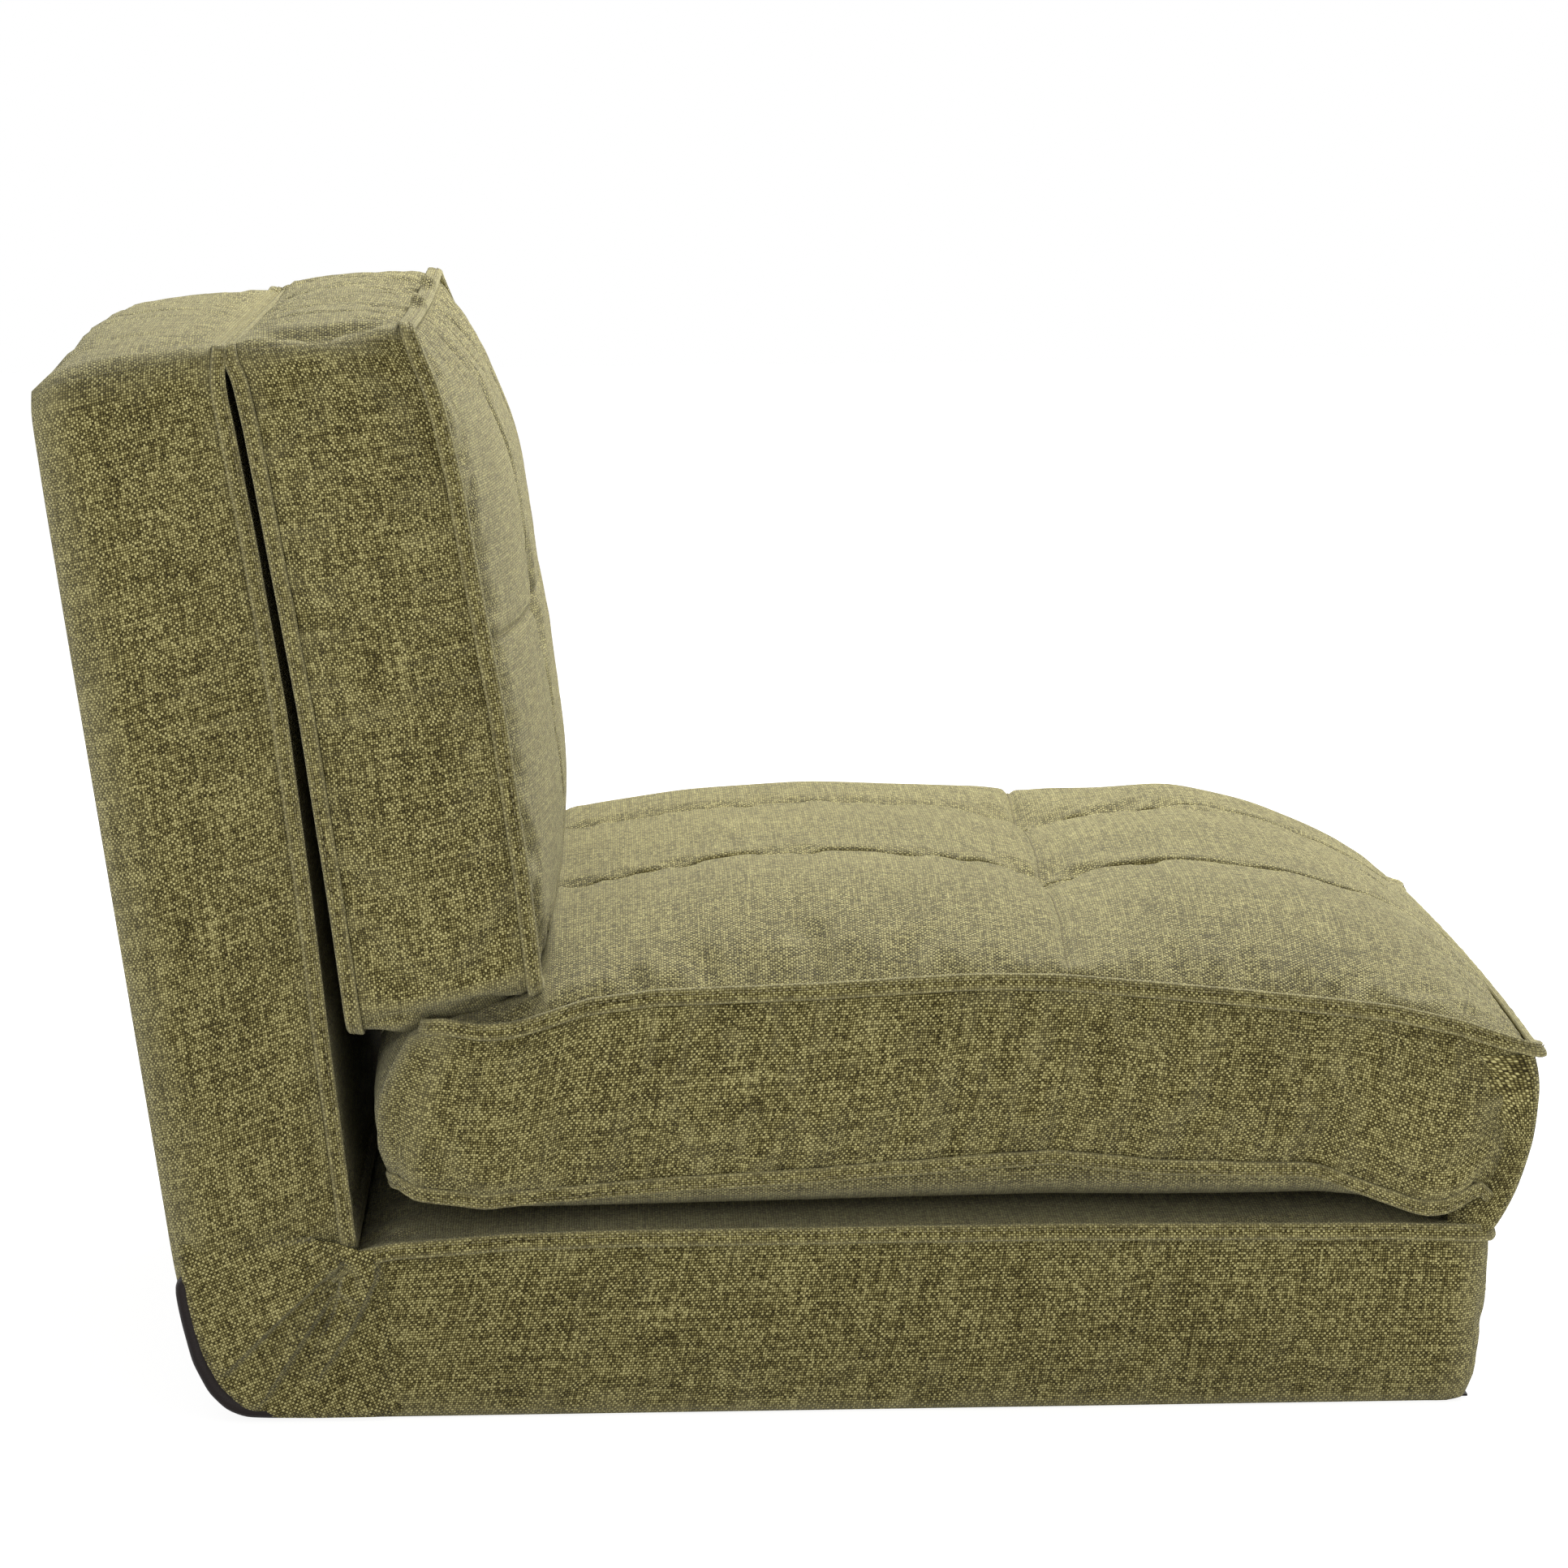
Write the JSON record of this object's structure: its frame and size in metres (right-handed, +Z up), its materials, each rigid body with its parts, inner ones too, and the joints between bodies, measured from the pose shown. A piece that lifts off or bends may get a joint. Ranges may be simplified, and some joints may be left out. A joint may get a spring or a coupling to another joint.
{
  "type": "folding chair bed",
  "caption": "Fabric chair bed of hinged cushions: the back reclines flat, and the tufted seat and head cushions fold over to make a bed.",
  "frame": {"origin": "on the floor, midway across, 298 mm in front of the rear lower corner", "axes": "+X forward, +Y to the sitter's left, +Z up"},
  "size_m": [0.7618, 0.65, 0.5723],
  "materials": {
    "olive_fabric": "matte",
    "foam": "matte",
    "brown_leather": "satin",
    "black_steel": "satin",
    "zinc_steel": "satin"
  },
  "bodies": {
    "base": {"base_cover": "olive_fabric", "base_foam": "foam", "base_frame": "black_steel", "base_cross_bars": "black_steel", "base_top_welt": "olive_fabric", "base_underside": "brown_leather", "corner_wrap": "brown_leather", "front_gusset": "olive_fabric", "ratchet_base_plate_left": "zinc_steel", "ratchet_base_plate_right": "zinc_steel", "pivot_rivet_left": "zinc_steel", "pivot_rivet_right": "zinc_steel"},
    "back": {"back_cover": "olive_fabric", "back_foam": "foam", "back_frame": "black_steel", "back_cross_bars": "black_steel", "back_front_welt": "olive_fabric", "crease_strip": "olive_fabric", "ratchet_back_plate_left": "zinc_steel", "ratchet_back_plate_right": "zinc_steel"},
    "head": {"head_cover": "olive_fabric", "head_foam": "foam", "head_front_welt": "olive_fabric", "head_rear_welt": "olive_fabric"},
    "seat": {"seat_cover": "olive_fabric", "seat_foam": "foam", "seat_top_welt": "olive_fabric", "seat_bottom_welt": "olive_fabric"}
  },
  "joints": [
    {"name": "back_recline", "type": "hinge", "parent": "base", "child": "back", "pos_m": [-0.25273, 0, 0.053], "axis": [0, -1, 0], "range_deg": [0, 81]},
    {"name": "head_fold", "type": "hinge", "parent": "back", "child": "head", "pos_m": [-0.27173, 0, 0.56608], "axis": [0, -1, 0], "range_deg": [0, 180], "deforming": ["crease_strip"]},
    {"name": "seat_fold", "type": "hinge", "parent": "base", "child": "seat", "pos_m": [0.3705, 0, 0.1325], "axis": [0, 1, 0], "range_deg": [0, 180], "deforming": ["front_gusset"]}
  ]
}
